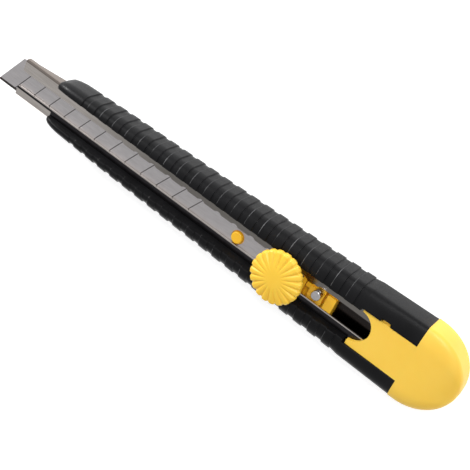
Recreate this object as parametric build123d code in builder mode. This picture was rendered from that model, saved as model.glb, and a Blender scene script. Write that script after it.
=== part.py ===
"""Snap-off utility knife with a wheel lock, 9 mm blade, lying on its back.

+X runs from the blade tip to the end cap, +Y from the cutting edge to the blade's spine, +Z up.
The origin is at the bottom centre of the whole knife's box. All lengths are in millimetres.
"""
import os
from math import cos, radians, sin, tan

from build123d import *

os.makedirs("parts", exist_ok=True)

# ---------------------------------------------------------------- driving dimensions
HALF_LENGTH = 68.1          # tip and cap end lie this far from the origin
BLADE_TOP = 6.5             # height of the blade's upper face above the floor

BLADE_LENGTH = 84.0
BLADE_WIDTH = 9.0
BLADE_THICKNESS = 0.4
SEGMENT_PITCH = 5.0
FIRST_SEGMENT = 5.2
SCORE_COUNT = 12
SCORE_SLOPE = tan(radians(31.0))   # run along the blade for each millimetre across it
SCORE_WIDTH = 0.14
SCORE_DEPTH = 0.1
BEVEL_WIDTH = 0.75
BEVEL_DEPTH = 0.17
LUG_X = 7.6                 # the blade hole and the slider's lug
LUG_Y = -0.45
LUG_RADIUS = 1.46
LUG_TOP = 7.2
HOLE_RADIUS = 1.74

SHEET = 0.45                # thickness of the channel's steel
CHANNEL_FRONT = -61.6
CHANNEL_REAR = 53.4
CHANNEL_HALF_WIDTH = 5.1
CHANNEL_FLOOR = 3.9         # underside of the channel inside the grip
NOSE_FLOOR = 5.55           # underside of the channel at its nose
NOSE_FLAT = 3.2             # length of the level part of the nose
NOSE_RAMP_END = -49.0
LIP_TOP = 7.05
SLOT_NEAR = -2.16           # inner edges of the two lips
SLOT_FAR = 1.88
NOTCH_FIRST = -29.2         # detent notches in the far lip, one for each blade segment
NOTCH_COUNT = 13
NOTCH_RADIUS = 1.25
NOTCH_DEPTH = 0.4

GRIP_FRONT = -50.1
GRIP_REAR = 55.45
RIB_PITCH = 4.03
RIB_WIDTH = 2.15
RIB_HEIGHT = 0.25
RIB_COUNT = 20
RIB_FIRST = -39.85
GROOVE_FOOT = 3.9           # half width of the open groove at the lips
GROOVE_HEAD = 4.72          # and at GROOVE_TOP, above the grip
GROOVE_TOP = 10.2
POCKET_TOP = 10.15          # above the grip, so that the pocket and the window are open
RUNNING_GAP = 0.05

WHEEL_X = 21.6
WHEEL_RADIUS = 6.5
WHEEL_BOTTOM = 10.4
WHEEL_RIM_TOP = 12.1
WHEEL_TOP = 12.85
BOSS_RADIUS = 3.65
BOSS_BOTTOM = 7.1
BOLT_RADIUS = 1.5
BOLT_TOP = 11.5
PLATE_SIZE = 8.2
PLATE_THICKNESS = 1.05
INSERT_RADIUS = 2.6
INSERT_BORE = 1.53

PIN_X = 30.8
PIN_Y = 0.64
PIN_RADIUS = 1.2
PIN_TOP = 8.85
PIN_BOTTOM = 5.3
ARM_ROOT = 27.15
ARM_NECK_WIDTH = 1.2
ARM_BOTTOM = 5.05
HEAD_FRONT = 28.4           # the arm's head, which holds the pin
HEAD_WIDTH = 4.4
ARM_REAR = 32.2

SLIDER_FRONT = 4.0
SLIDER_REAR = 35.2
SLIDER_TRAVEL = 60.0        # how far the slider runs forward from here
SLIDER_HALF_WIDTH = 4.4
SLIDER_BOTTOM = 4.4
SLIDER_FLOOR = 4.95
REAR_BLOCK_FRONT = 32.9
REAR_RIB_WIDTH = 3.8
WALL_LENGTH = 1.0

TONGUE_FRONT = 41.6
TONGUE_HALF_WIDTH = 4.98
TONGUE_TOP = 8.2
TONGUE_NOTCH_RADIUS = 4.05
POCKET_FRONT = 41.0
NIB_FRONT = 46.1
NIB_LENGTH = 2.3
NIB_REACH = 5.7
NIB_TOP = 7.75
SPIGOT_FRONT = 46.5
CAP_SEMI_LENGTH = 11.5
CAP_HALF_WIDTH = 10.05
CAP_ANGLES = (0, 15, 30, 44, 56, 66, 75, 82, 88.8)
CAP_MIDDLE = 4.3            # the height the cap's rounded end closes towards

blade_bottom = BLADE_TOP - BLADE_THICKNESS
lip_bottom = LIP_TOP - SHEET
channel_inside = CHANNEL_HALF_WIDTH - SHEET
floor_top = CHANNEL_FLOOR + SHEET
under_lips = lip_bottom - 2 * RUNNING_GAP     # top of what runs under the lips
between_lips = LIP_TOP - RUNNING_GAP          # top of what shows between them
blade_tip = -HALF_LENGTH
blade_rear = blade_tip + BLADE_LENGTH


# ---------------------------------------------------------------- blade
def score_x(index):
    """Where score line number index meets the cutting edge."""
    return blade_tip + FIRST_SEGMENT + index * SEGMENT_PITCH


with BuildPart() as blade:
    with BuildSketch(Plane.XY.offset(blade_bottom)):
        with BuildLine():
            Polyline(
                (blade_tip, -BLADE_WIDTH / 2),
                (blade_rear, -BLADE_WIDTH / 2),
                (blade_rear, BLADE_WIDTH / 2),
                (blade_tip + BLADE_WIDTH * SCORE_SLOPE, BLADE_WIDTH / 2),
                close=True,
            )
        make_face()
        with Locations((LUG_X, LUG_Y)):
            Circle(HOLE_RADIUS, mode=Mode.SUBTRACT)
    extrude(amount=BLADE_THICKNESS)
    cutting_edges = blade.edges().filter_by(Axis.X).group_by(Axis.Y)[0]
    cutting_face = blade.faces().filter_by(Axis.Z).sort_by(Axis.Z)
    for face, edge in zip((cutting_face[0], cutting_face[-1]), cutting_edges.sort_by(Axis.Z)):
        chamfer(edge, length=BEVEL_WIDTH, length2=BEVEL_DEPTH, reference=face)
    with BuildSketch(Plane.XY.offset(BLADE_TOP)):
        for index in range(SCORE_COUNT):
            start = score_x(index)
            with BuildLine():
                Polyline(
                    (start - SCORE_WIDTH / 2, -BLADE_WIDTH / 2),
                    (start + SCORE_WIDTH / 2, -BLADE_WIDTH / 2),
                    (start + SCORE_WIDTH / 2 + BLADE_WIDTH * SCORE_SLOPE, BLADE_WIDTH / 2),
                    (start - SCORE_WIDTH / 2 + BLADE_WIDTH * SCORE_SLOPE, BLADE_WIDTH / 2),
                    close=True,
                )
            make_face()
    extrude(amount=-SCORE_DEPTH, mode=Mode.SUBTRACT)
blade.part.label = "blade"
export_step(blade.part, "parts/blade.step")

# ---------------------------------------------------------------- blade channel
ramp_start = CHANNEL_FRONT + NOSE_FLAT
last_notch = NOTCH_FIRST + (NOTCH_COUNT - 1) * SEGMENT_PITCH
ramp_slope = (NOSE_FLOOR - CHANNEL_FLOOR) / (NOSE_RAMP_END - ramp_start)


def side_profile(nose, body, top, front, rear):
    """The channel's long section: level nose, ramp, level body, flat top."""
    with BuildLine() as line:
        Polyline(
            (front, nose),
            (ramp_start, nose),
            (NOSE_RAMP_END, body),
            (rear, body),
            (rear, top),
            (front, top),
            close=True,
        )
    return line


with BuildPart() as blade_channel:
    with BuildSketch(Plane.XZ):
        add(side_profile(NOSE_FLOOR, CHANNEL_FLOOR, LIP_TOP, CHANNEL_FRONT, CHANNEL_REAR))
        make_face()
    extrude(amount=CHANNEL_HALF_WIDTH, both=True)
    fillet(blade_channel.edges().filter_by(Axis.X).group_by(Axis.Z)[-1], 0.75)
    with BuildSketch(Plane.XZ):
        add(side_profile(NOSE_FLOOR + SHEET, floor_top, lip_bottom, CHANNEL_FRONT - 1, CHANNEL_REAR + 1))
        make_face()
    extrude(amount=channel_inside, both=True, mode=Mode.SUBTRACT)
    with BuildSketch(Plane.XY.offset(lip_bottom - 0.01)):
        with Locations(((CHANNEL_FRONT + CHANNEL_REAR) / 2, (SLOT_NEAR + SLOT_FAR) / 2)):
            Rectangle(CHANNEL_REAR - CHANNEL_FRONT + 2, SLOT_FAR - SLOT_NEAR)
        for index in range(NOTCH_COUNT):
            with Locations(
                (NOTCH_FIRST + index * SEGMENT_PITCH, SLOT_FAR + NOTCH_DEPTH - NOTCH_RADIUS)
            ):
                Circle(NOTCH_RADIUS)
        # behind the last notch the lip stays at the notches' depth, so the pin runs free there
        with Locations(((last_notch + CHANNEL_REAR + 1) / 2, SLOT_FAR)):
            Rectangle(CHANNEL_REAR + 1 - last_notch, 2 * NOTCH_DEPTH)
        fillet(
            vertices().filter_by(lambda v: abs(v.Y - SLOT_FAR) < 0.01 and abs(v.X) < CHANNEL_REAR),
            0.45,
        )
    extrude(amount=SHEET + 0.1, mode=Mode.SUBTRACT)
    nose_corners = blade_channel.edges().filter_by(Axis.Z).group_by(Axis.X)[0]
    fillet(nose_corners.filter_by(lambda e: abs(e.center().Y) < 2.5 and e.center().Z > lip_bottom), 0.5)
blade_channel.part.label = "blade_channel"
export_step(blade_channel.part, "parts/blade_channel.step")

# ---------------------------------------------------------------- grip
# Each station: x, half width, half width of the flat top, top height, bottom corner radius, bottom height.
GRIP_STATIONS = [
    (-50.1, 5.75, 4.6, 8.0, 2.2, 1.3),
    (-49.4, 6.2, 4.65, 8.35, 2.6, 0.75),
    (-48.0, 6.5, 4.7, 8.7, 2.9, 0.25),
    (-46.2, 6.7, 4.75, 8.95, 3.0, 0.0),
    (-32.0, 7.3, 4.9, 9.4, 3.0, 0.0),
    (-3.0, 8.05, 4.95, 9.55, 2.8, 0.0),
    (25.0, 8.95, 4.95, 9.35, 2.2, 0.0),
    (42.0, 9.5, 5.3, 8.75, 1.6, 0.0),
    (GRIP_REAR, 9.85, 5.4, 8.2, 1.1, 0.0),
]
SHOULDER_BASE = 6.4         # the side wall is upright below this height
RIBS_START = RIB_FIRST - (RIB_PITCH - RIB_WIDTH)
RIBS_END = RIB_FIRST + RIB_COUNT * RIB_PITCH


def station_at(x):
    """The grip's section at x, between the two stations around it."""
    for before, after in zip(GRIP_STATIONS, GRIP_STATIONS[1:]):
        if before[0] <= x <= after[0]:
            share = (x - before[0]) / (after[0] - before[0])
            return [low + share * (high - low) for low, high in zip(before, after)]
    raise ValueError(f"{x} lies outside the grip")


def outline(station, inset=0.0, shoulder=SHOULDER_BASE):
    """Closed section in the YZ plane: flat bottom, round corners, upright sides, elliptical shoulders."""
    x, half_width, flat, top, corner, bottom = station
    half_width -= inset
    top -= inset
    with BuildLine() as line:
        for side in (1, -1):
            Line((0, bottom), (side * (half_width - corner), bottom))
            CenterArc((side * (half_width - corner), bottom + corner), corner, -90, side * 90)
            Line((side * half_width, bottom + corner), (side * half_width, shoulder))
            EllipticalCenterArc(
                (side * flat, shoulder),
                half_width - flat,
                top - shoulder,
                start_angle=0 if side == 1 else 90,
                arc_size=90,
            )
            Line((side * flat, top), (0, top))
    return line.line


def stretch(start, end, inset=0.0):
    """The stations of one stretch of the grip, with its two ends."""
    inner = [station for station in GRIP_STATIONS if start + 0.01 < station[0] < end - 0.01]
    return [station_at(start)] + inner + [station_at(end)], inset


with BuildPart() as body_grip:
    for stations, inset in (
        stretch(GRIP_FRONT, RIBS_START),
        stretch(RIBS_START, RIBS_END, RIB_HEIGHT),
        stretch(RIBS_END, GRIP_REAR),
    ):
        for station in stations:
            with BuildSketch(Plane.YZ.offset(station[0])):
                add(outline(station, inset))
                make_face()
        loft(ruled=True)
    for index in range(RIB_COUNT):
        rib_x = RIB_FIRST + index * RIB_PITCH
        with BuildSketch(Plane.YZ.offset(rib_x)):
            add(outline(station_at(rib_x + RIB_WIDTH / 2)))
            make_face()
    extrude(amount=RIB_WIDTH)
    # cavity that holds the steel channel
    grip_length = GRIP_REAR - GRIP_FRONT + 4
    with BuildSketch(Plane.YZ.offset(GRIP_FRONT - 2)):
        with Locations((0, (CHANNEL_FLOOR + LIP_TOP) / 2)):
            Rectangle(
                2 * (CHANNEL_HALF_WIDTH + RUNNING_GAP), LIP_TOP - CHANNEL_FLOOR + 2 * RUNNING_GAP
            )
        # open groove above the lips, with leaning walls
        with BuildLine():
            Polyline(
                (-GROOVE_FOOT, LIP_TOP),
                (GROOVE_FOOT, LIP_TOP),
                (GROOVE_HEAD, GROOVE_TOP),
                (-GROOVE_HEAD, GROOVE_TOP),
                close=True,
            )
        make_face()
    extrude(amount=grip_length, mode=Mode.SUBTRACT)
    # wider pocket for the end cap's tongue
    with BuildSketch(Plane.YZ.offset(POCKET_FRONT)):
        with Locations((0, (LIP_TOP + POCKET_TOP) / 2)):
            Rectangle(2 * (TONGUE_HALF_WIDTH + RUNNING_GAP), POCKET_TOP - LIP_TOP)
    extrude(amount=GRIP_REAR - POCKET_FRONT + 1, mode=Mode.SUBTRACT)
    # track that the cap's nib runs in, and the window that shows it
    track_edge = NIB_REACH + 0.08
    with BuildSketch(Plane.YZ.offset(NIB_FRONT - 0.1)):
        with Locations((track_edge / 2, (LIP_TOP + NIB_TOP) / 2)):
            Rectangle(track_edge, NIB_TOP - LIP_TOP + 2 * RUNNING_GAP)
    extrude(amount=GRIP_REAR - NIB_FRONT + 1, mode=Mode.SUBTRACT)
    with Locations((NIB_FRONT + NIB_LENGTH / 2, track_edge / 2, (LIP_TOP + POCKET_TOP) / 2)):
        Box(NIB_LENGTH + 0.2, track_edge, POCKET_TOP - LIP_TOP, mode=Mode.SUBTRACT)
body_grip.part.label = "body_grip"
export_step(body_grip.part, "parts/body_grip.step")

# ---------------------------------------------------------------- slider
with BuildPart() as slider:
    with BuildSketch(Plane.XY.offset(SLIDER_BOTTOM)):
        with Locations(((SLIDER_FRONT + SLIDER_REAR) / 2, 0)):
            RectangleRounded(SLIDER_REAR - SLIDER_FRONT, 2 * SLIDER_HALF_WIDTH, 0.6)
    extrude(amount=SLIDER_FLOOR - SLIDER_BOTTOM)
    # bed under the blade, with the lug that the blade hooks on
    bed_rear = blade_rear + 0.4
    with BuildSketch(Plane.XY.offset(SLIDER_FLOOR)):
        with Locations(((SLIDER_FRONT + bed_rear) / 2, 0)):
            RectangleRounded(bed_rear - SLIDER_FRONT, 2 * SLIDER_HALF_WIDTH, 0.6)
    extrude(amount=blade_bottom - RUNNING_GAP - SLIDER_FLOOR)
    with BuildSketch(Plane.XY.offset(SLIDER_FLOOR)):
        with Locations((LUG_X, LUG_Y)):
            Circle(LUG_RADIUS)
    extrude(amount=LUG_TOP - SLIDER_FLOOR)
    fillet(slider.edges().filter_by(GeomType.CIRCLE).sort_by(Axis.Z)[-1], 0.3)
    # leaning underside at the front, which clears the channel's ramp at full travel
    lean_end = NOSE_RAMP_END + SLIDER_TRAVEL
    lean_height = (lean_end - SLIDER_FRONT + 1) * ramp_slope
    with BuildSketch(Plane.XZ):
        with BuildLine():
            Polyline(
                (lean_end, SLIDER_BOTTOM),
                (SLIDER_FRONT - 1, SLIDER_BOTTOM + lean_height),
                (SLIDER_FRONT - 1, SLIDER_BOTTOM - 1),
                (lean_end, SLIDER_BOTTOM - 1),
                close=True,
            )
        make_face()
    extrude(amount=CHANNEL_HALF_WIDTH, both=True, mode=Mode.SUBTRACT)
    # walls before and behind the bolt's plate
    plate_room = PLATE_SIZE / 2 + 0.15
    for side in (-1, 1):
        with BuildSketch(Plane.XY.offset(SLIDER_FLOOR)):
            with Locations((WHEEL_X + side * (plate_room + WALL_LENGTH / 2), 0)):
                Rectangle(WALL_LENGTH, 2 * SLIDER_HALF_WIDTH)
        extrude(amount=under_lips - SLIDER_FLOOR)
    # rear block, with the rib that shows between the lips
    rear_block = SLIDER_REAR - REAR_BLOCK_FRONT
    with BuildSketch(Plane.XY.offset(SLIDER_FLOOR)):
        with Locations((SLIDER_REAR - rear_block / 2, 0)):
            Rectangle(rear_block, 2 * SLIDER_HALF_WIDTH)
    extrude(amount=under_lips - SLIDER_FLOOR)
    with BuildSketch(Plane.XY.offset(under_lips)):
        with Locations((SLIDER_REAR - rear_block / 2, (SLOT_NEAR + SLOT_FAR) / 2)):
            RectangleRounded(rear_block, REAR_RIB_WIDTH, 0.3)
    extrude(amount=between_lips - under_lips)
slider.part.label = "slider"
export_step(slider.part, "parts/slider.step")

# ---------------------------------------------------------------- detent arm and its pin
with BuildPart() as detent_arm:
    head_middle = (HEAD_FRONT + ARM_REAR) / 2
    with BuildSketch(Plane.XY.offset(ARM_BOTTOM)):
        with Locations(((ARM_ROOT + head_middle) / 2, PIN_Y)):
            Rectangle(head_middle - ARM_ROOT, ARM_NECK_WIDTH)
        with Locations((head_middle, 0)):
            RectangleRounded(ARM_REAR - HEAD_FRONT, HEAD_WIDTH, 0.4)
    extrude(amount=under_lips - ARM_BOTTOM)
    with BuildSketch(Plane.XY.offset(under_lips)):
        with Locations((head_middle, -0.15)):
            RectangleRounded(ARM_REAR - HEAD_FRONT, 2.6, 0.3)
    extrude(amount=between_lips - under_lips)
    with BuildSketch(Plane.XY.offset(PIN_BOTTOM)):
        with Locations((PIN_X, PIN_Y)):
            Circle(PIN_RADIUS)
    extrude(amount=between_lips - PIN_BOTTOM, mode=Mode.SUBTRACT)
detent_arm.part.label = "detent_arm"
export_step(detent_arm.part, "parts/detent_arm.step")

with BuildPart() as detent_pin:
    with BuildSketch(Plane.XY.offset(PIN_BOTTOM)):
        with Locations((PIN_X, PIN_Y)):
            Circle(PIN_RADIUS)
    extrude(amount=PIN_TOP - PIN_BOTTOM)
    fillet(detent_pin.edges().sort_by(Axis.Z)[-1], 0.25)
detent_pin.part.label = "detent_pin"
export_step(detent_pin.part, "parts/detent_pin.step")

# ---------------------------------------------------------------- wheel, its insert and the lock bolt
plate_top = lip_bottom - RUNNING_GAP
with BuildPart() as lock_bolt:
    with BuildSketch(Plane.XY.offset(plate_top - PLATE_THICKNESS)):
        with Locations((WHEEL_X, 0)):
            RectangleRounded(PLATE_SIZE, PLATE_SIZE, 0.5)
    extrude(amount=PLATE_THICKNESS)
    with BuildSketch(Plane.XY.offset(plate_top)):
        with Locations((WHEEL_X, 0)):
            RectangleRounded(5.0, 3.6, 0.4)
    extrude(amount=SHEET)
    with BuildSketch(Plane.XY.offset(plate_top)):
        with Locations((WHEEL_X, 0)):
            Circle(BOLT_RADIUS)
    extrude(amount=BOLT_TOP - plate_top)
    chamfer(lock_bolt.edges().filter_by(GeomType.CIRCLE).sort_by(Axis.Z)[-1], 0.3)
lock_bolt.part.label = "lock_bolt"
export_step(lock_bolt.part, "parts/lock_bolt.step")

with BuildPart() as wheel_insert:
    with BuildSketch(Plane.XY.offset(BOSS_BOTTOM + 0.1)):
        with Locations((WHEEL_X, 0)):
            Circle(INSERT_RADIUS)
            Circle(INSERT_BORE, mode=Mode.SUBTRACT)
    extrude(amount=BOLT_TOP - BOSS_BOTTOM)
wheel_insert.part.label = "wheel_insert"
export_step(wheel_insert.part, "parts/wheel_insert.step")

insert_top = BOLT_TOP + 0.1
with BuildPart() as wheel:
    with BuildSketch(Plane(origin=(WHEEL_X, 0, 0), x_dir=(1, 0, 0), z_dir=(0, -1, 0))):
        with BuildLine():
            Polyline(
                (0, insert_top),
                (INSERT_RADIUS, insert_top),
                (INSERT_RADIUS, BOSS_BOTTOM),
                (BOSS_RADIUS, BOSS_BOTTOM),
                (BOSS_RADIUS, WHEEL_BOTTOM),
                (WHEEL_RADIUS - 0.4, WHEEL_BOTTOM),
                (WHEEL_RADIUS, WHEEL_BOTTOM + 0.5),
                (WHEEL_RADIUS, WHEEL_RIM_TOP - 0.5),
                (WHEEL_RADIUS - 0.55, WHEEL_RIM_TOP),
            )
            TangentArc((0, WHEEL_TOP), (WHEEL_RADIUS - 0.55, WHEEL_RIM_TOP), tangent=(1, 0))
            Line((0, WHEEL_TOP), (0, insert_top))
        make_face()
    revolve(axis=Axis((WHEEL_X, 0, 0), (0, 0, 1)))
wheel.part.label = "wheel"
export_step(wheel.part, "parts/wheel.step")

# ---------------------------------------------------------------- end cap
cap_centre = HALF_LENGTH - CAP_SEMI_LENGTH
cap_top = GRIP_STATIONS[-1][3]


def cap_station(angle):
    """Section of the cap where its half-elliptical plan has turned by angle."""
    width_share = cos(radians(angle))
    height_share = width_share**0.55
    return (
        cap_centre + CAP_SEMI_LENGTH * sin(radians(angle)),
        CAP_HALF_WIDTH * width_share,
        5.4 * width_share,
        CAP_MIDDLE + (cap_top - CAP_MIDDLE) * height_share,
        1.1 * width_share,
        CAP_MIDDLE * (1 - height_share),
    ), CAP_MIDDLE + (SHOULDER_BASE - CAP_MIDDLE) * height_share


with BuildPart() as end_cap:
    straight = (GRIP_REAR,) + cap_station(0)[0][1:], SHOULDER_BASE
    for station, shoulder in [straight] + [cap_station(a) for a in CAP_ANGLES]:
        with BuildSketch(Plane.YZ.offset(station[0])):
            add(outline(station, shoulder=shoulder))
            make_face()
    loft(ruled=True)
    # tongue over the lips, with the round notch that clears the wheel's boss
    with BuildSketch(Plane.XY.offset(LIP_TOP + RUNNING_GAP)):
        with Locations(((TONGUE_FRONT + GRIP_REAR) / 2, 0)):
            Rectangle(GRIP_REAR - TONGUE_FRONT + 0.02, 2 * TONGUE_HALF_WIDTH)
        with Locations((TONGUE_FRONT - 0.2, 0.25)):
            Circle(TONGUE_NOTCH_RADIUS, mode=Mode.SUBTRACT)
    extrude(amount=TONGUE_TOP - LIP_TOP - RUNNING_GAP)
    # nib on the tongue's far side
    with BuildSketch(Plane.XY.offset(LIP_TOP + 0.1)):
        with BuildLine():
            Polyline(
                (NIB_FRONT, TONGUE_HALF_WIDTH - 0.2),
                (NIB_FRONT + 0.5, NIB_REACH),
                (NIB_FRONT + NIB_LENGTH - 0.5, NIB_REACH),
                (NIB_FRONT + NIB_LENGTH, TONGUE_HALF_WIDTH - 0.2),
                close=True,
            )
        make_face()
    extrude(amount=NIB_TOP - LIP_TOP - 0.1)
    # spigot inside the channel
    with Locations(((SPIGOT_FRONT + GRIP_REAR) / 2, 0, (floor_top + lip_bottom) / 2)):
        Box(GRIP_REAR - SPIGOT_FRONT + 0.02, 2 * channel_inside - 0.1, lip_bottom - floor_top - 0.1)
end_cap.part.label = "end_cap"
export_step(end_cap.part, "parts/end_cap.step")
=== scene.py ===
"""Snap-off utility knife lying on its back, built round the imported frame.

+X runs from the blade tip to the end cap, +Y from the cutting edge to the spine, +Z up.
Sizes are written in millimetres and turned into Blender's metres by MM.
"""
from math import atan2, cos, pi, radians, sin

import bmesh
import bpy
from mathutils import Matrix, Vector


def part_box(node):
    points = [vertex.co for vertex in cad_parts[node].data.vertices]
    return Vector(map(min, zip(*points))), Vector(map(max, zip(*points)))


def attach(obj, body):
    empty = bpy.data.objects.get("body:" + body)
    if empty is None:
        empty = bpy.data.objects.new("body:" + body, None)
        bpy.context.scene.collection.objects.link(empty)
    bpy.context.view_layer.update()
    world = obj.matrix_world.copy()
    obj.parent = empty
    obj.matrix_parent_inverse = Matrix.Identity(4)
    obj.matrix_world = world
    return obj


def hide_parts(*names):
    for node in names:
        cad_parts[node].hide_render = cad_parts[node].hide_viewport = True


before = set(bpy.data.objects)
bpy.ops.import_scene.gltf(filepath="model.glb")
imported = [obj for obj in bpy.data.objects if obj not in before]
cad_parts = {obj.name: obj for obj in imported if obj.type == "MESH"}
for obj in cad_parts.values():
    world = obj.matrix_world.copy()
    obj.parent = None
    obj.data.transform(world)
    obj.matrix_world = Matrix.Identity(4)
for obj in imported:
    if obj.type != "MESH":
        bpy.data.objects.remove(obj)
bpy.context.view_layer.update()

MM = 0.001
SMOOTH_ANGLE = radians(32)
GRIP_SMOOTH_ANGLE = radians(50)
WHEEL_SMOOTH_ANGLE = radians(45)

# ---------------------------------------------------------------- places taken from the frame
grip_low, grip_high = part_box("body_grip")
cap_low, cap_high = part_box("end_cap")
wheel_low, wheel_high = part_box("wheel")
channel_low, channel_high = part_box("blade_channel")

GRIP_FRONT = grip_low.x / MM
GRIP_REAR = grip_high.x / MM
CAP_REAR = cap_high.x / MM
TONGUE_FRONT = cap_low.x / MM
CAP_HALF_WIDTH = cap_high.y / MM
CAP_TOP = cap_high.z / MM
LIP_TOP = channel_high.z / MM
CHANNEL_HALF_WIDTH = channel_high.y / MM
WHEEL_X = (wheel_low.x + wheel_high.x) / 2 / MM
WHEEL_RADIUS = (wheel_high.x - wheel_low.x) / 2 / MM
WHEEL_TOP = wheel_high.z / MM
BOSS_BOTTOM = wheel_low.z / MM

# ---------------------------------------------------------------- the grip's own sizes
CHANNEL_BOTTOM = 3.9
GAP = 0.05                  # clearance round the channel
SHOULDER_BASE = 6.4         # the grip's and the cap's shoulders start here
SHOULDER_STEPS = 12
CORNER_STEPS = 6
SIDE_HEIGHTS = (5.2, 4.0)   # extra points down the grip's side wall

# x, half width, half width of the flat top, top height, bottom corner radius, bottom height
GRIP_STATIONS = [
    (GRIP_FRONT, 5.72, 4.6, 7.95, 2.2, 1.35),
    (-49.4, 6.2, 4.65, 8.35, 2.6, 0.75),
    (-48.0, 6.5, 4.7, 8.7, 2.9, 0.25),
    (-46.2, 6.7, 4.75, 8.95, 3.0, 0.0),
    (-32.0, 7.3, 4.9, 9.4, 3.0, 0.0),
    (-3.0, 8.05, 4.95, 9.53, 2.8, 0.0),
    (25.0, 8.95, 4.95, 9.35, 2.2, 0.0),
    (42.0, 9.5, 5.3, 8.75, 1.6, 0.0),
    (GRIP_REAR, 9.85, 5.4, 8.2, 1.1, 0.0),
]

RIB_FIRST = -39.85
RIB_PITCH = 4.03
RIB_COUNT = 20
RIB_WIDTH = 2.15
RIB_HEIGHT = 0.27
RIB_EDGE = 0.15             # length of each rib's rounded flank
FLANK_SHARES = (-0.6, 0, 0.25, 0.5, 0.75, 1, 1.6)    # places of the sections on a flank, in RIB_EDGEs
VALLEY_WIDTH = RIB_PITCH - RIB_WIDTH

GROOVE_FOOT = 3.9           # half width of the open groove at the lips
GROOVE_LEAN = 0.26          # how far its walls lean out for each millimetre of height
GROOVE_ROUND = 0.16         # rounding of its upper edges
ROUND_KNEE = 0.3            # the rounding's middle point, as a share of GROOVE_ROUND
POCKET_FRONT = 41.0
POCKET_HALF_WIDTH = 5.03
TRACK_FRONT = 46.0          # the track that the cap's nib slides in
TRACK_REACH = 5.78
TRACK_TOP = 7.8
WINDOW_REAR = 48.5          # the track is open above as far back as this
STEP_HALF = 0.001           # half the distance between the two sections at a step

# ---------------------------------------------------------------- the cap's own sizes
CAP_SEMI_LENGTH = 11.5
CAP_CENTRE = CAP_REAR - CAP_SEMI_LENGTH
CAP_MIDDLE = 4.3            # height that the rounded end closes towards
CAP_FLAT = 5.4              # half width of its flat top
CAP_CORNER = 1.1
CAP_CLOSING = 0.55          # power of the width's share that the height follows
CAP_LAST_ANGLE = 89.2
CAP_RINGS = 40
CAP_RING_CROWDING = 1.25    # over 1, the rings stand closer together towards the rear
CAP_SHOULDER_STEPS = 16
CAP_CORNER_STEPS = 8
TONGUE_HALF_WIDTH = 4.98
NOTCH_X = 41.4
NOTCH_Y = 0.25
NOTCH_RADIUS = 4.05
NOTCH_STEPS = 32
NIB_FRONT = 46.1
NIB_LENGTH = 2.3
NIB_SLANT = 0.5
NIB_ROOT = TONGUE_HALF_WIDTH - 0.2
NIB_REACH = 5.7
NIB_BOTTOM = LIP_TOP + 0.1
NIB_TOP = 7.75
SPIGOT_FRONT = 46.5
SPIGOT_HALF_WIDTH = 4.6
SPIGOT_BOTTOM = 4.4
SPIGOT_TOP = 6.55

# ---------------------------------------------------------------- the wheel's own sizes
FLUTES = 20
FLUTE_INNER = 1.9           # the flutes fade out at this radius
FLUTE_DEPTH = 0.38
FLUTE_SHARPNESS = 3.2
FLUTE_FADE = 0.7
SCALLOP_DEPTH = 0.25
DOME_POWER = 2.4
RIM_BOTTOM = 10.4
RIM_TOP = 12.1
RIM_CHAMFER_WIDTH = 0.35
RIM_CHAMFER_HEIGHT = 0.4
RIM_ROUND_WIDTH = 0.5
RIM_ROUND_HEIGHT = 0.55
RIM_ROUND_STEPS = 6
WHEEL_HUB = 2.6
HUB_TOP = 11.6
BOSS_RADIUS = 3.65
WHEEL_SPOKES = FLUTES * 16
WHEEL_CIRCLES = 24

# ---------------------------------------------------------------- marks, painted shade and painted highlights that only materials show
BLADE_HALF_WIDTH = 4.5
SCORE_PITCH = 5.0
SCORE_FIRST = -62.9         # where the first score line meets the cutting edge
SCORE_COUNT = 12
SCORE_SLOPE = 0.6009        # run along the blade for each millimetre across it
SCORE_HALF_WIDTH = 0.11
BEVEL_WIDTH = 0.75
CHANNEL_WALL = 0.4
LIP_THICKNESS = 0.6
LIP_SKIN = 0.2              # what lies less than this below the lips' tops counts as their top
NEAR_EDGE = -2.45           # the near lip keeps its steel colour between its edge and here; outward of here it gets a painted dark reflection
NEAR_STRIPE = -3.0          # at the nose the painted dark stripe ends here
# the far outer bend and wall get a painted dark reflection outward of FAR_BEND
FAR_BEND = 4.45
FAR_LIGHT_END = -45.0       # the far lip's painted dark reflection grows from here to FAR_DARK_START
FAR_DARK_START = -15.0
FAR_DARKNESS = 0.72
BEND_DARKNESS = 0.8
# painted highlight along the ribs' front edges: its half width, where it shows and how it fades in
RIB_HIGHLIGHT_HALF_WIDTH = 0.09
RIB_HIGHLIGHT_INNER = 5.2            # the painted highlight shows further out than this
RIB_HIGHLIGHT_FOOT = 5.6             # the painted highlight fades in from this height to the full height on the next line
RIB_HIGHLIGHT_FULL = 7.6

# ---------------------------------------------------------------- floor, light and camera
FLOOR_SIZE = 20000
FLOOR_Z = -0.02
FLOOR_GLOW = 0.55
BRIGHT_SIDE = (0.05, 0.75, 0.66)
DIM_SKY = 0.43
BRIGHT_SKY = 0.68
LIGHT_TARGET = (5, 0, 0)
KEY_PLACE, KEY_SIZE, KEY_POWER = (120, 330, 330), (160, 160), 0.85
EDGE_PLACE, EDGE_SIZE, EDGE_POWER = (-330, 190, 150), (60, 80), 1.0
CAMERA_TARGET = (6.774, -0.366, 6.5)
CAMERA_BACKWARD = (0.290, 0.486, 0.8244)
CAMERA_DISTANCE = 257
CAMERA_ROLL = radians(36.415)
CAMERA_LENS = 85.8


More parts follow.
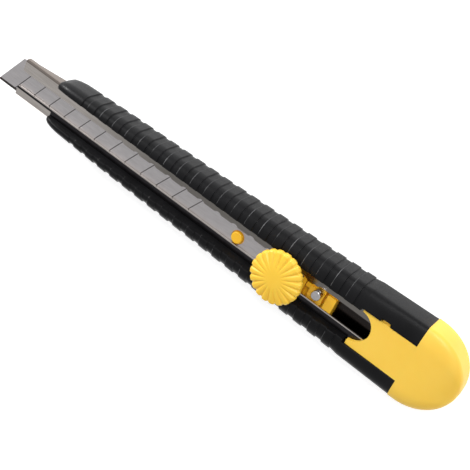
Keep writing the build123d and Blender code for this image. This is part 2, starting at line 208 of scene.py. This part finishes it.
# ---------------------------------------------------------------- mesh helpers
def make_object(name, bm, material, smooth_angle=SMOOTH_ANGLE):
    """Turns a bmesh in millimetres into an object with one material and smooth shading."""
    bmesh.ops.recalc_face_normals(bm, faces=bm.faces)
    mesh = bpy.data.meshes.new(name)
    bm.to_mesh(mesh)
    bm.free()
    mesh.transform(Matrix.Scale(MM, 4))
    for polygon in mesh.polygons:
        polygon.use_smooth = True
    mesh.set_sharp_from_angle(angle=smooth_angle)
    mesh.materials.append(material)
    piece = bpy.data.objects.new(name, mesh)
    bpy.context.scene.collection.objects.link(piece)
    return piece


def skin(bm, rows):
    """Faces between rows of vertices that each close on themselves, with the two ends filled."""
    count = len(rows[0])
    for before, after in zip(rows, rows[1:]):
        for i in range(count):
            j = (i + 1) % count
            bm.faces.new((before[i], before[j], after[j], after[i]))
    bm.faces.new(rows[0])
    bm.faces.new(list(reversed(rows[-1])))


def loft(bm, rings):
    """Closed skin over a list of equally long closed rings of points."""
    skin(bm, [[bm.verts.new(point) for point in ring] for ring in rings])


def prism(bm, outline, low, high):
    """Upright prism over a plan outline."""
    loft(bm, [[(x, y, low) for x, y in outline], [(x, y, high) for x, y in outline]])


def smoothstep(low, high, value):
    """0 below low, 1 above high and an S curve between them."""
    share = min(1.0, max(0.0, (value - low) / (high - low)))
    return share * share * (3 - 2 * share)


def shoulder_arc(flat, half_width, base, top, first, steps):
    """Quarter ellipse in (y, z) from the flat top's edge down to the side wall."""
    arc = []
    for step in range(first, steps + 1):
        angle = pi / 2 * (1 - step / steps)
        arc.append((flat + (half_width - flat) * cos(angle), base + (top - base) * sin(angle)))
    return arc


def corner_arc(half_width, corner, bottom, steps):
    """Quarter circle in (y, z) from the side wall round to the bottom."""
    arc = []
    for step in range(steps + 1):
        angle = -pi / 2 * step / steps
        arc.append((half_width - corner + corner * cos(angle), bottom + corner + corner * sin(angle)))
    return arc


def mirrored(points):
    """The points on the other side of the middle plane, in the opposite order."""
    return [(-y, z) for y, z in reversed(points)]


# ---------------------------------------------------------------- material helpers
def new_material(name):
    """A node material, its node tree and its Principled shader."""
    material = bpy.data.materials.new(name)
    material.use_nodes = True
    tree = material.node_tree
    return material, tree, tree.nodes["Principled BSDF"]


def noise(tree, scale, detail=3.0, stretch=(1, 1, 1)):
    """Noise texture in object space; stretch scales each axis, so a small value makes long streaks."""
    coordinates = tree.nodes.new("ShaderNodeTexCoord")
    mapping = tree.nodes.new("ShaderNodeMapping")
    mapping.inputs["Scale"].default_value = stretch
    texture = tree.nodes.new("ShaderNodeTexNoise")
    texture.inputs["Scale"].default_value = scale
    texture.inputs["Detail"].default_value = detail
    tree.links.new(coordinates.outputs["Object"], mapping.inputs["Vector"])
    tree.links.new(mapping.outputs["Vector"], texture.inputs["Vector"])
    return texture.outputs["Fac"]


def ramp(tree, value, stops):
    """Colour ramp over value; stops are (position, colour) with linear colours."""
    node = tree.nodes.new("ShaderNodeValToRGB")
    elements = node.color_ramp.elements
    while len(elements) < len(stops):
        elements.new(0.5)
    for element, (position, colour) in zip(elements, stops):
        element.position = position
        element.color = (*colour, 1)
    tree.links.new(value, node.inputs["Fac"])
    return node.outputs["Color"]


def to_range(tree, value, low, high, source=(0.3, 0.7)):
    """Maps a value from the source range to low..high."""
    node = tree.nodes.new("ShaderNodeMapRange")
    node.inputs["From Min"].default_value = source[0]
    node.inputs["From Max"].default_value = source[1]
    node.inputs["To Min"].default_value = low
    node.inputs["To Max"].default_value = high
    tree.links.new(value, node.inputs["Value"])
    return node.outputs["Result"]


def bump(tree, shader, value, distance, strength):
    """Bump of a height texture, distance in metres."""
    node = tree.nodes.new("ShaderNodeBump")
    node.inputs["Distance"].default_value = distance
    node.inputs["Strength"].default_value = strength
    tree.links.new(value, node.inputs["Height"])
    tree.links.new(node.outputs["Normal"], shader.inputs["Normal"])


def calculate(tree, operation, *values):
    """Math node over sockets or numbers."""
    node = tree.nodes.new("ShaderNodeMath")
    node.operation = operation
    for socket, value in zip(node.inputs, values):
        if isinstance(value, (int, float)):
            socket.default_value = value
        else:
            tree.links.new(value, socket)
    return node.outputs["Value"]


def both(tree, first, *others):
    """1 where every mask is 1: their product."""
    for other in others:
        first = calculate(tree, "MULTIPLY", first, other)
    return first


def object_axes(tree):
    """The X, Y and Z sockets of the place on the object, in metres."""
    axes = tree.nodes.new("ShaderNodeSeparateXYZ")
    tree.links.new(tree.nodes.new("ShaderNodeTexCoord").outputs["Object"], axes.inputs["Vector"])
    return axes.outputs["X"], axes.outputs["Y"], axes.outputs["Z"]


def mix_base_colour(tree, mask, colour):
    """Where mask is 1, the shader's base colour becomes colour."""
    base = tree.nodes["Principled BSDF"].inputs["Base Color"]
    mix = tree.nodes.new("ShaderNodeMixRGB")
    mix.inputs["Color2"].default_value = (*colour, 1)
    tree.links.new(mask, mix.inputs["Fac"])
    tree.links.new(base.links[0].from_socket, mix.inputs["Color1"])
    tree.links.new(mix.outputs["Color"], base)


# ---------------------------------------------------------------- materials
def plastic(name, dark, light, roughness, grain_scale, grain_depth, specular=0.5, subsurface=0.0):
    """Moulded plastic: slight colour drift, fine spark-eroded grain, uneven gloss."""
    material, tree, shader = new_material(name)
    drift = noise(tree, 180, 4)
    tree.links.new(ramp(tree, drift, [(0.3, dark), (0.7, light)]), shader.inputs["Base Color"])
    grain = noise(tree, grain_scale, 2)
    tree.links.new(to_range(tree, grain, *roughness), shader.inputs["Roughness"])
    bump(tree, shader, grain, grain_depth * MM, 0.6)
    shader.inputs["Specular IOR Level"].default_value = specular
    if subsurface:
        shader.inputs["Subsurface Weight"].default_value = subsurface
        shader.inputs["Subsurface Radius"].default_value = (0.9 * MM, 0.5 * MM, 0.1 * MM)
        shader.inputs["Subsurface Scale"].default_value = 1.0
    return material


def steel(name, dark, light, roughness, stretch, streak_scale, streak_depth):
    """Rolled or ground steel: long streaks in colour, gloss and height."""
    material, tree, shader = new_material(name)
    streaks = noise(tree, streak_scale, 4, stretch)
    patches = noise(tree, 90, 3)
    tree.links.new(ramp(tree, streaks, [(0.25, dark), (0.75, light)]), shader.inputs["Base Color"])
    tree.links.new(to_range(tree, patches, *roughness), shader.inputs["Roughness"])
    bump(tree, shader, streaks, streak_depth * MM, 0.5)
    shader.inputs["Metallic"].default_value = 1.0
    return material


def paint_score_line_shade(material):
    """Painted shade in the score lines: darkens the steel along them; they lean across the blade at an
    even pitch.
    """
    tree = material.node_tree
    x, y, _ = object_axes(tree)
    across = calculate(tree, "ADD", y, BLADE_HALF_WIDTH * MM)
    start = calculate(tree, "MULTIPLY_ADD", across, -SCORE_SLOPE, x)
    along = calculate(tree, "SUBTRACT", start, SCORE_FIRST * MM)
    nearest = calculate(tree, "PINGPONG", along, SCORE_PITCH / 2 * MM)
    on_line = calculate(tree, "LESS_THAN", nearest, SCORE_HALF_WIDTH * MM)
    after_first = calculate(tree, "GREATER_THAN", along, -SCORE_PITCH / 2 * MM)
    before_last = calculate(tree, "LESS_THAN", along, (SCORE_COUNT - 0.5) * SCORE_PITCH * MM)
    # painted shade: near-black steel colour along the score lines
    mix_base_colour(tree, both(tree, on_line, after_first, before_last), (0.06, 0.055, 0.055))


def paint_bevel_reflection(material):
    """Painted dark reflection: the ground bevel along the cutting edge is made darker than the blade's
    flat.
    """
    tree = material.node_tree
    _, y, _ = object_axes(tree)
    bevel = calculate(tree, "LESS_THAN", y, (BEVEL_WIDTH - BLADE_HALF_WIDTH) * MM)
    # painted dark reflection: near-black steel colour on the bevel band
    mix_base_colour(tree, bevel, (0.085, 0.075, 0.07))


def paint_rib_edge_highlights(material):
    """Painted highlights: thin lighter lines along the ribs' front edges, broken up by noise and fading
    in higher up.
    """
    tree = material.node_tree
    x, y, z = object_axes(tree)
    along = calculate(tree, "SUBTRACT", x, (RIB_FIRST - RIB_PITCH / 2) * MM)
    place = calculate(tree, "FLOORED_MODULO", along, RIB_PITCH * MM)
    from_edge = calculate(tree, "ABSOLUTE", calculate(tree, "SUBTRACT", place, RIB_PITCH / 2 * MM))
    on_edge = calculate(tree, "LESS_THAN", from_edge, RIB_HIGHLIGHT_HALF_WIDTH * MM)
    after = calculate(tree, "GREATER_THAN", along, 0.0)
    before = calculate(tree, "LESS_THAN", along, RIB_COUNT * RIB_PITCH * MM)
    outer = calculate(tree, "GREATER_THAN", calculate(tree, "ABSOLUTE", y), RIB_HIGHLIGHT_INNER * MM)
    upper = to_range(tree, z, 0.0, 1.0, (RIB_HIGHLIGHT_FOOT * MM, RIB_HIGHLIGHT_FULL * MM))
    patchy = to_range(tree, noise(tree, 260, 3), 0.05, 1.0, (0.40, 0.62))
    # painted highlight on the ribs' front edges
    rib_highlight = both(tree, on_edge, after, before, outer, upper, patchy)
    mix_base_colour(tree, rib_highlight, (0.13, 0.13, 0.135))


def paint_channel_inside_shade(material):
    """Painted shade: dark steel colour inside the channel, below the lips and between its walls."""
    tree = material.node_tree
    _, y, z = object_axes(tree)
    side = calculate(tree, "ABSOLUTE", y)
    between = calculate(tree, "LESS_THAN", side, (CHANNEL_HALF_WIDTH - CHANNEL_WALL) * MM)
    below = calculate(tree, "LESS_THAN", z, (LIP_TOP - LIP_THICKNESS) * MM)
    # painted shade inside the channel
    mix_base_colour(tree, both(tree, between, below), (0.035, 0.03, 0.028))


def paint_lip_reflections(material):
    """Painted dark reflection: the near lip is dark but for its inner edge, the far lip darkens from
    nose to rear, and the far outer bend and wall are darkened too.
    """
    tree = material.node_tree
    x, y, z = object_axes(tree)
    above = calculate(tree, "GREATER_THAN", z, (LIP_TOP - LIP_SKIN) * MM)
    outside_edge = calculate(tree, "LESS_THAN", y, NEAR_EDGE * MM)
    narrow = calculate(tree, "GREATER_THAN", y, NEAR_STRIPE * MM)
    in_grip = calculate(tree, "GREATER_THAN", x, GRIP_FRONT * MM)
    inside_bend = calculate(tree, "MAXIMUM", narrow, in_grip)
    mix_base_colour(tree, both(tree, outside_edge, inside_bend, above), (0.045, 0.042, 0.045))
    # painted dark reflection on the far lip, growing towards the rear
    far_side = calculate(tree, "GREATER_THAN", y, 0.0)
    rearward = to_range(tree, x, 0.0, FAR_DARKNESS, (FAR_LIGHT_END * MM, FAR_DARK_START * MM))
    mix_base_colour(tree, both(tree, far_side, above, rearward), (0.10, 0.095, 0.085))
    # painted dark reflection on the far outer bend and wall
    outer_wall = calculate(tree, "GREATER_THAN", y, FAR_BEND * MM)
    mix_base_colour(tree, both(tree, outer_wall, BEND_DARKNESS), (0.10, 0.075, 0.06))


grip_black = plastic(
    "grip_black_satin", (0.0035, 0.0035, 0.004), (0.007, 0.007, 0.008), (0.30, 0.46), 3200, 0.020,
    specular=0.18,
)
cap_yellow = plastic(
    "cap_yellow_satin", (0.96, 0.595, 0.065), (0.98, 0.625, 0.080), (0.36, 0.46), 6500, 0.008,
    subsurface=0.12,
)
wheel_yellow = plastic(
    "wheel_yellow_satin", (0.95, 0.575, 0.040), (0.98, 0.61, 0.055), (0.34, 0.46), 6500, 0.010,
    subsurface=0.12,
)
slider_yellow = plastic(
    "slider_yellow_gloss", (0.93, 0.50, 0.02), (0.96, 0.55, 0.03), (0.28, 0.38), 6500, 0.008,
    subsurface=0.1,
)
channel_steel = steel(
    "channel_steel_rolled", (0.62, 0.57, 0.53), (0.76, 0.71, 0.67), (0.14, 0.22),
    (0.06, 1, 1), 2600, 0.0015,
)
blade_steel = steel(
    "blade_steel_ground", (0.60, 0.575, 0.58), (0.72, 0.69, 0.70), (0.34, 0.44),
    (0.12, 1, 1), 3600, 0.003,
)
pin_steel = steel(
    "pin_steel_turned", (0.62, 0.60, 0.61), (0.76, 0.74, 0.75), (0.16, 0.26), (1, 1, 0.1), 1500, 0.002
)
bolt_steel = steel(
    "bolt_zinc_plated", (0.52, 0.52, 0.53), (0.64, 0.64, 0.66), (0.28, 0.42), (1, 1, 1), 900, 0.004
)
insert_brass = steel(
    "insert_brass_turned", (0.70, 0.50, 0.20), (0.80, 0.60, 0.28), (0.24, 0.34), (1, 1, 0.1), 1500, 0.003
)
paint_score_line_shade(blade_steel)
paint_bevel_reflection(blade_steel)
paint_rib_edge_highlights(grip_black)
paint_channel_inside_shade(channel_steel)
paint_lip_reflections(channel_steel)

for node, material in (
    ("blade_channel", channel_steel),
    ("blade", blade_steel),
    ("slider", slider_yellow),
    ("detent_arm", slider_yellow),
    ("detent_pin", pin_steel),
    ("lock_bolt", bolt_steel),
    ("wheel_insert", insert_brass),
):
    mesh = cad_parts[node].data
    mesh.materials.clear()
    mesh.materials.append(material)


# ---------------------------------------------------------------- grip
def grip_station(x):
    """The grip's measures at x, between the two stations around it."""
    for before, after in zip(GRIP_STATIONS, GRIP_STATIONS[1:]):
        if x <= after[0]:
            share = (x - before[0]) / (after[0] - before[0])
            return [low + share * (high - low) for low, high in zip(before[1:], after[1:])]
    return list(GRIP_STATIONS[-1][1:])


def rib_drop(x):
    """How far the surface lies below the ribs' tops at x: 0 on a rib, RIB_HEIGHT between two."""
    start = RIB_FIRST - VALLEY_WIDTH
    end = RIB_FIRST + RIB_COUNT * RIB_PITCH
    if not start < x < end:
        return 0.0
    along = (x - start) % RIB_PITCH
    fall = smoothstep(0, RIB_EDGE, along)
    rise = smoothstep(VALLEY_WIDTH - RIB_EDGE, VALLEY_WIDTH, along)
    return RIB_HEIGHT * (fall - rise)


def groove_wall(x, z):
    """Half width of the groove at x and height z: leaning walls, then the upright pocket."""
    if x > POCKET_FRONT:
        return POCKET_HALF_WIDTH
    return GROOVE_FOOT + GROOVE_LEAN * (z - LIP_TOP)


def near_wall(x, top):
    """The groove's near wall, from the grip's top down to the channel's near lip."""
    knee = GROOVE_ROUND * ROUND_KNEE
    return [
        (-groove_wall(x, top) - GROOVE_ROUND, top),
        (-groove_wall(x, top - knee) - knee, top - knee),
        (-groove_wall(x, top - GROOVE_ROUND), top - GROOVE_ROUND),
        (-groove_wall(x, TRACK_TOP), TRACK_TOP),
        (-groove_wall(x, LIP_TOP), LIP_TOP + GAP),
    ]


def far_wall(x, top):
    """The groove's far wall from the lip up to the grip's top, with the nib's track at the rear."""
    if x > TRACK_FRONT:
        foot = TRACK_REACH
        under_roof = TRACK_REACH
    else:
        foot = groove_wall(x, LIP_TOP)
        under_roof = groove_wall(x, TRACK_TOP)
    if TRACK_FRONT < x < WINDOW_REAR:
        roof_edge = TRACK_REACH
        upper = TRACK_REACH
    else:
        roof_edge = groove_wall(x, top) if x > TRACK_FRONT else under_roof
        upper = groove_wall(x, top - GROOVE_ROUND)
    knee = GROOVE_ROUND * ROUND_KNEE
    return [
        (foot, LIP_TOP + GAP),
        (foot, LIP_TOP + GAP),
        (under_roof, TRACK_TOP),
        (roof_edge, TRACK_TOP),
        (upper, top - GROOVE_ROUND),
        (upper + knee, top - knee),
        (upper + GROOVE_ROUND, top),
    ]


def grip_ring(x):
    """The grip's closed section at x, from the far shoulder round the outside and back inside."""
    half_width, flat, top, corner, bottom = grip_station(x)
    drop = rib_drop(x)
    half_width -= drop
    top -= drop
    far_side = shoulder_arc(flat, half_width, SHOULDER_BASE, top, 1, SHOULDER_STEPS)
    far_side += [(half_width, height) for height in SIDE_HEIGHTS]
    far_side += corner_arc(half_width, corner, bottom, CORNER_STEPS)
    cavity = CHANNEL_HALF_WIDTH + GAP
    channel_bed = [
        (-cavity, LIP_TOP + GAP),
        (-cavity, CHANNEL_BOTTOM - GAP),
        (cavity, CHANNEL_BOTTOM - GAP),
        (cavity, LIP_TOP + GAP),
    ]
    outside = far_side + [(0.0, bottom)] + mirrored(far_side)
    ring = outside + near_wall(x, top) + channel_bed + far_wall(x, top)
    return [(x, y, z) for y, z in ring]


def grip_positions():
    """Where the grip's sections stand: closer together on the ribs' flanks and at the steps."""
    places = {GRIP_FRONT, GRIP_REAR}
    places.update(station[0] for station in GRIP_STATIONS)
    for rib in range(RIB_COUNT + 1):
        valley = RIB_FIRST - VALLEY_WIDTH + rib * RIB_PITCH
        for share in FLANK_SHARES:
            places.add(valley + RIB_EDGE * share)
            if rib < RIB_COUNT:
                places.add(valley + VALLEY_WIDTH - RIB_EDGE * share)
    for step in (POCKET_FRONT, TRACK_FRONT, WINDOW_REAR):
        places.update((step - STEP_HALF, step + STEP_HALF))
    return sorted(places)


def build_grip():
    bm = bmesh.new()
    loft(bm, [grip_ring(x) for x in grip_positions()])
    bmesh.ops.remove_doubles(bm, verts=bm.verts, dist=1e-5)
    piece = make_object("ribbed_grip", bm, grip_black, GRIP_SMOOTH_ANGLE)
    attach(piece, "handle")
    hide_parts("body_grip")


# ---------------------------------------------------------------- end cap
def cap_ring(x, share):
    """Section of the cap; share is the half-elliptical plan's width share at x."""
    height_share = share**CAP_CLOSING
    half_width = CAP_HALF_WIDTH * share
    top = CAP_MIDDLE + (CAP_TOP - CAP_MIDDLE) * height_share
    bottom = CAP_MIDDLE * (1 - height_share)
    shoulder = CAP_MIDDLE + (SHOULDER_BASE - CAP_MIDDLE) * height_share
    side = shoulder_arc(CAP_FLAT * share, half_width, shoulder, top, 0, CAP_SHOULDER_STEPS)
    side += corner_arc(half_width, CAP_CORNER * share, bottom, CAP_CORNER_STEPS)
    ring = [(0.0, top)] + side + [(0.0, bottom)] + mirrored(side)
    return [(x, y, z) for y, z in ring]


def tongue_outline():
    """Plan of the tongue: two horns either side of the round notch, running back into the cap."""
    points = []
    reach = NOTCH_X - TONGUE_FRONT
    limit = atan2((NOTCH_RADIUS**2 - reach**2) ** 0.5, -reach)
    for step in range(NOTCH_STEPS + 1):
        angle = limit - 2 * limit * step / NOTCH_STEPS
        points.append((NOTCH_X + NOTCH_RADIUS * cos(angle), NOTCH_Y + NOTCH_RADIUS * sin(angle)))
    points += [(TONGUE_FRONT, -TONGUE_HALF_WIDTH), (GRIP_REAR, -TONGUE_HALF_WIDTH)]
    points += [(GRIP_REAR, TONGUE_HALF_WIDTH), (TONGUE_FRONT, TONGUE_HALF_WIDTH)]
    return points


def nib_outline():
    """Plan of the nib on the tongue's far side, with both ends slanted."""
    rear = NIB_FRONT + NIB_LENGTH
    return [
        (NIB_FRONT, NIB_ROOT),
        (NIB_FRONT + NIB_SLANT, NIB_REACH),
        (rear - NIB_SLANT, NIB_REACH),
        (rear, NIB_ROOT),
    ]


def spigot_outline():
    """Plan of the spigot that fits inside the channel."""
    return [
        (SPIGOT_FRONT, -SPIGOT_HALF_WIDTH),
        (GRIP_REAR, -SPIGOT_HALF_WIDTH),
        (GRIP_REAR, SPIGOT_HALF_WIDTH),
        (SPIGOT_FRONT, SPIGOT_HALF_WIDTH),
    ]


def build_cap():
    bm = bmesh.new()
    rings = [cap_ring(GRIP_REAR, 1.0)]
    for step in range(CAP_RINGS + 1):
        angle = radians(CAP_LAST_ANGLE * (1 - (1 - step / CAP_RINGS) ** CAP_RING_CROWDING))
        rings.append(cap_ring(CAP_CENTRE + CAP_SEMI_LENGTH * sin(angle), cos(angle)))
    loft(bm, rings)
    prism(bm, tongue_outline(), LIP_TOP + GAP, CAP_TOP)
    prism(bm, nib_outline(), NIB_BOTTOM, NIB_TOP)
    prism(bm, spigot_outline(), SPIGOT_BOTTOM, SPIGOT_TOP)
    piece = make_object("end_cap_shell", bm, cap_yellow)
    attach(piece, "cap")
    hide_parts("end_cap")


# ---------------------------------------------------------------- thumb wheel
def flute(angle):
    """0 on the crest between two flutes, 1 at the bottom of a flute: wide crests, narrow flutes."""
    return (0.5 - 0.5 * cos(FLUTES * angle)) ** FLUTE_SHARPNESS


def rim_radius(angle):
    """Radius of the wheel's scalloped rim."""
    return WHEEL_RADIUS - SCALLOP_DEPTH * flute(angle)


def wheel_top(radius, angle):
    """Height of the wheel's upper face: a shallow dome with flutes that fade out at the centre."""
    share = radius / WHEEL_RADIUS
    dome = WHEEL_TOP - (WHEEL_TOP - RIM_TOP) * share**DOME_POWER
    fade = smoothstep(FLUTE_INNER, WHEEL_RADIUS, radius) ** FLUTE_FADE
    return dome - FLUTE_DEPTH * flute(angle) * fade


def wheel_profile(angle):
    """The wheel's (radius, height) points at one angle, from the hub's top round to near its centre."""
    rim = rim_radius(angle)
    profile = [
        (WHEEL_HUB, HUB_TOP),
        (WHEEL_HUB, BOSS_BOTTOM),
        (BOSS_RADIUS, BOSS_BOTTOM),
        (BOSS_RADIUS, RIM_BOTTOM),
        (rim - RIM_CHAMFER_WIDTH, RIM_BOTTOM),
        (rim, RIM_BOTTOM + RIM_CHAMFER_HEIGHT),
    ]
    for step in range(RIM_ROUND_STEPS + 1):
        turn = pi / 2 * step / RIM_ROUND_STEPS
        radius = rim - RIM_ROUND_WIDTH * (1 - cos(turn))
        profile.append((radius, wheel_top(radius, angle) - RIM_ROUND_HEIGHT * (1 - sin(turn))))
    for step in range(1, WHEEL_CIRCLES):
        radius = (rim - RIM_ROUND_WIDTH) * (1 - step / WHEEL_CIRCLES)
        profile.append((radius, wheel_top(radius, angle)))
    return profile


def build_wheel():
    bm = bmesh.new()
    spokes = []
    for i in range(WHEEL_SPOKES):
        angle = 2 * pi * i / WHEEL_SPOKES
        spokes.append([(WHEEL_X + r * cos(angle), r * sin(angle), z) for r, z in wheel_profile(angle)])
    loft(bm, zip(*spokes))
    piece = make_object("fluted_thumb_wheel", bm, wheel_yellow, WHEEL_SMOOTH_ANGLE)
    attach(piece, "thumb_wheel")
    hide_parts("wheel")


build_grip()
build_cap()
build_wheel()


# ---------------------------------------------------------------- surroundings
def build_floor():
    material, tree, shader = new_material("floor_paper")
    paper = noise(tree, 40, 3)
    white = ramp(tree, paper, [(0.3, (0.90, 0.90, 0.90)), (0.7, (0.92, 0.92, 0.92))])
    tree.links.new(white, shader.inputs["Base Color"])
    shader.inputs["Roughness"].default_value = 0.9
    shader.inputs["Emission Color"].default_value = (1, 1, 1, 1)
    shader.inputs["Emission Strength"].default_value = FLOOR_GLOW
    bm = bmesh.new()
    bmesh.ops.create_grid(bm, x_segments=1, y_segments=1, size=FLOOR_SIZE)
    floor = make_object("floor", bm, material)
    floor.location.z = FLOOR_Z * MM


def softbox(name, place, size, power):
    """Area light at place, in millimetres, that faces the knife's middle."""
    data = bpy.data.lights.new(name, "AREA")
    data.shape = "RECTANGLE"
    data.size, data.size_y = (side * MM for side in size)
    data.energy = power
    light = bpy.data.objects.new(name, data)
    light.location = Vector(place) * MM
    aim = Vector(LIGHT_TARGET) * MM - light.location
    light.rotation_euler = aim.to_track_quat("-Z", "Y").to_euler()
    bpy.context.scene.collection.objects.link(light)


def build_world():
    """Grey studio, bright overhead and on the far side and dim low on the near side."""
    world = bpy.data.worlds.new("studio")
    world.use_nodes = True
    tree = world.node_tree
    direction = tree.nodes.new("ShaderNodeTexCoord").outputs["Generated"]
    towards = tree.nodes.new("ShaderNodeVectorMath")
    towards.operation = "DOT_PRODUCT"
    towards.inputs[1].default_value = Vector(BRIGHT_SIDE).normalized()
    tree.links.new(direction, towards.inputs[0])
    tree.nodes["Background"].inputs["Color"].default_value = (1, 1, 1, 1)
    glow = to_range(tree, towards.outputs["Value"], DIM_SKY, BRIGHT_SKY, (0.0, 0.9))
    tree.links.new(glow, tree.nodes["Background"].inputs["Strength"])
    bpy.context.scene.world = world


def build_camera():
    """Camera from the far rear side, rolled so that the knife lies across the picture's diagonal."""
    target = Vector(CAMERA_TARGET) * MM
    backward = Vector(CAMERA_BACKWARD).normalized()
    level_right = (Vector((1, 0, 0)) - backward * backward.x).normalized()
    level_up = backward.cross(level_right)
    right = level_right * cos(CAMERA_ROLL) + level_up * sin(CAMERA_ROLL)
    up = level_up * cos(CAMERA_ROLL) - level_right * sin(CAMERA_ROLL)
    data = bpy.data.cameras.new("camera")
    data.sensor_width = 36
    data.lens = CAMERA_LENS
    data.clip_start = 0.01
    camera = bpy.data.objects.new("camera", data)
    turn = Matrix((right, up, backward)).transposed().to_4x4()
    camera.matrix_world = Matrix.Translation(target + backward * CAMERA_DISTANCE * MM) @ turn
    bpy.context.scene.collection.objects.link(camera)
    bpy.context.scene.camera = camera


build_floor()
build_world()
softbox("key", KEY_PLACE, KEY_SIZE, KEY_POWER)
softbox("edge", EDGE_PLACE, EDGE_SIZE, EDGE_POWER)
build_camera()
bpy.context.scene.view_settings.view_transform = "Standard"
